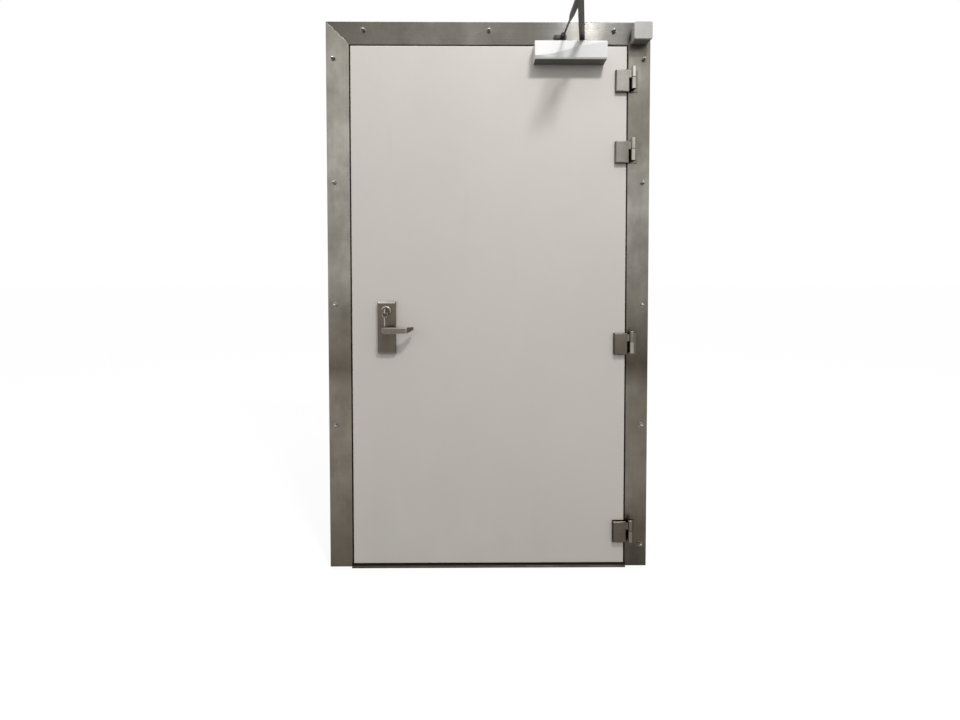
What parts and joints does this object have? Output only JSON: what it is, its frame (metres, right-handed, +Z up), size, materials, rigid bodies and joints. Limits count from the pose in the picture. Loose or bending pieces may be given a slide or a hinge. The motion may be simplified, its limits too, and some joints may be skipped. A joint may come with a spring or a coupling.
{
  "type": "cold storage door",
  "caption": "Hinged insulated cold room door: off-white flush leaf in a stainless steel casing, with strap hinges, lever lock and surface closer.",
  "frame": {"origin": "at floor level on the wall's face, straight behind the hinge axis", "axes": "+Z up, +Y from the warm side into the cold room, +X from the latch side to the hinge side"},
  "size_m": [1.32, 0.513, 2.244],
  "materials": {
    "stainless": "brushed, dulled with use",
    "frame_member": "smooth pultruded",
    "hinge_steel": "satin",
    "leaf_white": "warm off-white, satin",
    "leaf_insulation": "smooth edge",
    "rubber": "matte black",
    "closer_silver": "satin",
    "arm_steel": "dark plated",
    "trim_steel": "satin",
    "key_metal": "worn nickel",
    "box_grey": "moulded"
  },
  "bodies": {
    "frame": {"casing_head": "stainless", "casing_hinge_side": "stainless", "casing_latch_side": "stainless", "threshold": "stainless", "strike_plate": "stainless", "core_head": "frame_member", "core_hinge_side": "frame_member", "core_latch_side": "frame_member", "hinge_1_foot": "hinge_steel", "hinge_2_foot": "hinge_steel", "hinge_3_foot": "hinge_steel", "hinge_4_foot": "hinge_steel", "closer_shoe": "arm_steel", "junction_box": "box_grey", "junction_box_lid": "box_grey"},
    "leaf": {"leaf_front_skin": "leaf_white", "leaf_core": "leaf_insulation", "leaf_back_skin": "leaf_white", "leaf_gasket": "rubber", "leaf_sweep": "rubber", "latch_plate": "stainless", "hinge_1_strap": "hinge_steel", "hinge_2_strap": "hinge_steel", "hinge_3_strap": "hinge_steel", "hinge_4_strap": "hinge_steel", "closer_housing": "closer_silver", "trim_outside": "trim_steel", "trim_inside": "trim_steel", "lock_cylinder": "trim_steel", "key": "key_metal", "key_ring": "key_metal", "spare_key": "key_metal"},
    "closer_arm": {"closer_arm": "arm_steel", "closer_pinion": "arm_steel"},
    "closer_forearm": {"closer_forearm": "arm_steel"},
    "lever": {"lever_outside": "trim_steel", "lever_inside": "trim_steel", "lever_spindle": "arm_steel"}
  },
  "joints": [
    {"name": "leaf_swing", "type": "hinge", "parent": "frame", "child": "leaf", "pos_m": [0, -0.047, 0], "axis": [0, 0, 1], "range_deg": [0, 110], "stiffness_Nm_per_rad": 12, "springref_deg": -74.48},
    {"name": "closer_arm_turn", "type": "hinge", "parent": "leaf", "child": "closer_arm", "pos_m": [-0.212, -0.06, 2.15], "axis": [0, 0, 1], "range_deg": [-168, 0]},
    {"name": "closer_forearm_turn", "type": "hinge", "parent": "frame", "child": "closer_forearm", "pos_m": [-0.284, -0.047, 2.18], "axis": [0, 0, 1], "range_deg": [0, 13.2]},
    {"name": "lever_turn", "type": "hinge", "parent": "leaf", "child": "lever", "pos_m": [-1.0025, -0.045, 0.995], "axis": [0, 1, 0], "range_deg": [0, 45], "stiffness_Nm_per_rad": 1.2, "springref_deg": -20.05}
  ],
  "couplings": [
    {"joint": "closer_arm_turn", "follows": "leaf_swing", "ratio": -1.5229},
    {"joint": "closer_forearm_turn", "follows": "leaf_swing", "ratio": 0.1183}
  ]
}
